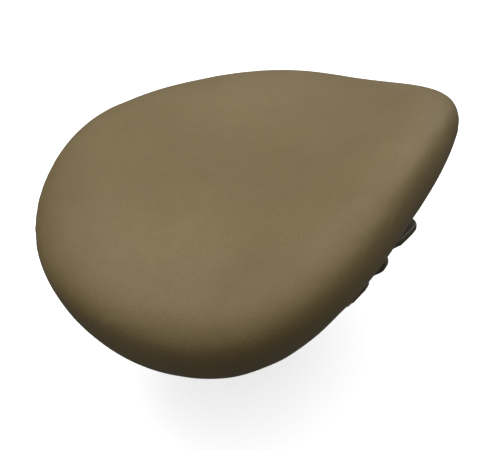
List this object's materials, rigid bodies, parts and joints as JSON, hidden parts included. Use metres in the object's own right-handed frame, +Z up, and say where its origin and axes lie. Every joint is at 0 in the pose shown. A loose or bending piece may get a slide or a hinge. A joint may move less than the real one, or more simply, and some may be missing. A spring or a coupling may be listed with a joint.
{
  "type": "contoured head cradle cushion",
  "caption": "Contoured D-shaped head cradle pad with seamless cover on a tilting double-jointed bracket, cam lever and flat-bar clamp with gib and knob.",
  "frame": {"origin": "middle of the bar slot's roof, the face that rests on the chair's or table's flat bar", "axes": "+X to the pad's right, across its width; +Y from the neck edge to the crown edge, along the bar; +Z up"},
  "size_m": [0.28, 0.2175, 0.1578],
  "materials": {
    "skin": "matt coated upholstery, taupe",
    "foam": "moulded open-cell foam",
    "black_plastic": "fine textured moulding",
    "dark_plastic": "satin moulding, olive black",
    "painted_steel": "satin powder coat, dark taupe",
    "zinc": "bright zinc plate",
    "cast_aluminium": "fine cast, satin",
    "brass": "machined bronze",
    "nylon": "natural nylon",
    "rubber": "matt rubber"
  },
  "bodies": {
    "base": {"clamp_block": "cast_aluminium", "thread_insert": "brass", "lower_axle": "zinc", "lock_nut": "zinc", "disc_spring_1": "zinc", "disc_spring_2": "zinc", "lower_washer_1": "nylon", "lower_washer_2": "nylon"},
    "gib": {"gib_plate": "zinc"},
    "knob": {"clamp_knob": "black_plastic", "clamp_screw": "zinc", "knob_cap": "zinc"},
    "link": {"link_arm": "cast_aluminium", "upper_bush": "brass", "lower_bush": "brass", "upper_washer_1": "nylon", "upper_washer_2": "nylon"},
    "pad": {"cover": "skin", "foam_core": "foam", "backing_pan": "black_plastic", "edge_bead": "rubber", "breather_vent": "black_plastic", "bracket": "painted_steel", "t_nut_1": "zinc", "t_nut_2": "zinc", "t_nut_3": "zinc", "t_nut_4": "zinc", "bracket_screw_1": "zinc", "bracket_screw_2": "zinc", "bracket_screw_3": "zinc", "bracket_screw_4": "zinc", "stop_bumper": "rubber", "upper_axle": "zinc", "wave_spring": "zinc"},
    "cam_follower": {"cam_washer": "black_plastic"},
    "lever": {"cam_lever": "dark_plastic", "barrel_pin": "zinc"}
  },
  "joints": [
    {"name": "arm_swing", "type": "hinge", "parent": "base", "child": "link", "pos_m": [0, -0.007, 0.0153], "axis": [1, 0, 0], "range_deg": [-30, 12]},
    {"name": "head_tilt", "type": "hinge", "parent": "link", "child": "pad", "pos_m": [0, -0.0955, 0.05605], "axis": [1, 0, 0], "range_deg": [0, 50]},
    {"name": "lever_turn", "type": "hinge", "parent": "pad", "child": "lever", "pos_m": [0.028, -0.0955, 0.05605], "axis": [0, 0, -1], "range_deg": [-20, 75]},
    {"name": "cam_press", "type": "slide", "parent": "pad", "child": "cam_follower", "axis": [1, 0, 0], "range_m": [-0.00085, 0.00025]},
    {"name": "gib_slide", "type": "slide", "parent": "base", "child": "gib", "axis": [-1, 0, 0], "range_m": [0, 0.00124]},
    {"name": "knob_turn", "type": "hinge", "parent": "gib", "child": "knob", "pos_m": [0.0303, 0, -0.0035], "axis": [1, 0, 0], "range_deg": [0, 360]}
  ],
  "couplings": [
    {"joint": "cam_press", "follows": "lever_turn", "m_per_rad": -0.000634},
    {"joint": "knob_turn", "follows": "gib_slide", "rad_per_m": 5050.5}
  ]
}
